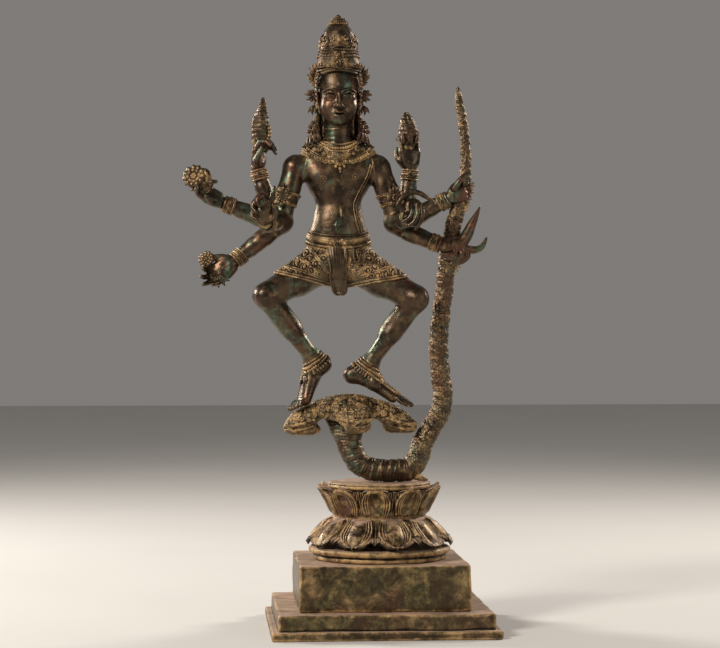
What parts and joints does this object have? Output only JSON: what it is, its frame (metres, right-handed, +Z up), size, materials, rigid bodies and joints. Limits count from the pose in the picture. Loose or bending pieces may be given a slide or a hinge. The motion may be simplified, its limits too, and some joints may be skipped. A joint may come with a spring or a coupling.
{
  "type": "brass nataraja statue",
  "caption": "Cast brass figure of a many-armed dancing deity on tiptoe on a hooded serpent, holding its tail, on a lotus and a stepped square plinth.",
  "frame": {"origin": "middle of the bottom of the whole statue's box, close to under the dancer's own axis, on the surface that it stands on", "axes": "+Z up, the figure faces -Y, its right side is towards -X"},
  "size_m": [0.3062, 0.205, 0.6115],
  "materials": {
    "skin_brass": "dark brown-black patina, satin, rubbed warm on raised places",
    "cloth_brass": "dark patina with ochre dust in chased bands, satin",
    "ornament_brass": "dark patina with ochre dust and rubbed edges, satin",
    "serpent_brass": "dark patina with ochre dust in scales, matt to satin",
    "pedestal_brass": "green-brown patina with pinkish dust on ledges, satin",
    "steel": "plain, slightly oxidised"
  },
  "bodies": {
    "root": {"plinth_lower_step": "pedestal_brass", "plinth_upper_block": "pedestal_brass", "tie_stud": "steel", "tie_nut": "steel", "tie_washer": "steel", "lotus_foot_ring": "pedestal_brass", "lotus_lower_petals": "pedestal_brass", "lotus_upper_petals": "pedestal_brass", "lotus_top_plate": "pedestal_brass", "serpent_coil": "serpent_brass", "serpent_neck": "serpent_brass", "serpent_hood": "serpent_brass", "serpent_head_front": "serpent_brass", "serpent_head_right": "serpent_brass", "serpent_head_left": "serpent_brass", "serpent_tail_lower": "serpent_brass", "serpent_tail_upper": "serpent_brass", "right_leg": "skin_brass", "right_anklet": "ornament_brass", "right_foot": "skin_brass", "left_leg": "skin_brass", "left_anklet": "ornament_brass", "left_foot": "skin_brass", "hip_cloth": "cloth_brass", "torso": "skin_brass", "girdle": "ornament_brass", "front_sash": "cloth_brass", "collar": "ornament_brass", "head": "skin_brass", "diadem": "ornament_brass", "crown_body": "ornament_brass", "crown_finial": "ornament_brass", "right_ear_ornament": "ornament_brass", "right_hair_locks": "ornament_brass", "left_ear_ornament": "ornament_brass", "left_hair_locks": "ornament_brass", "right_upper_arm": "skin_brass", "right_armlet": "ornament_brass", "left_upper_arm": "skin_brass", "left_armlet": "ornament_brass", "right_raised_forearm": "skin_brass", "right_raised_hand": "skin_brass", "right_outer_forearm": "skin_brass", "right_outer_hand": "skin_brass", "right_lower_forearm": "skin_brass", "right_lower_hand": "skin_brass", "right_front_forearm": "skin_brass", "right_front_hand": "skin_brass", "left_raised_forearm": "skin_brass", "left_raised_hand": "skin_brass", "left_outer_forearm": "skin_brass", "left_outer_hand": "skin_brass", "left_lower_forearm": "skin_brass", "left_lower_hand": "skin_brass", "left_front_forearm": "skin_brass", "left_front_hand": "skin_brass", "conch": "ornament_brass", "lotus_flower": "ornament_brass", "lotus_bud": "ornament_brass"}
  },
  "joints": []
}
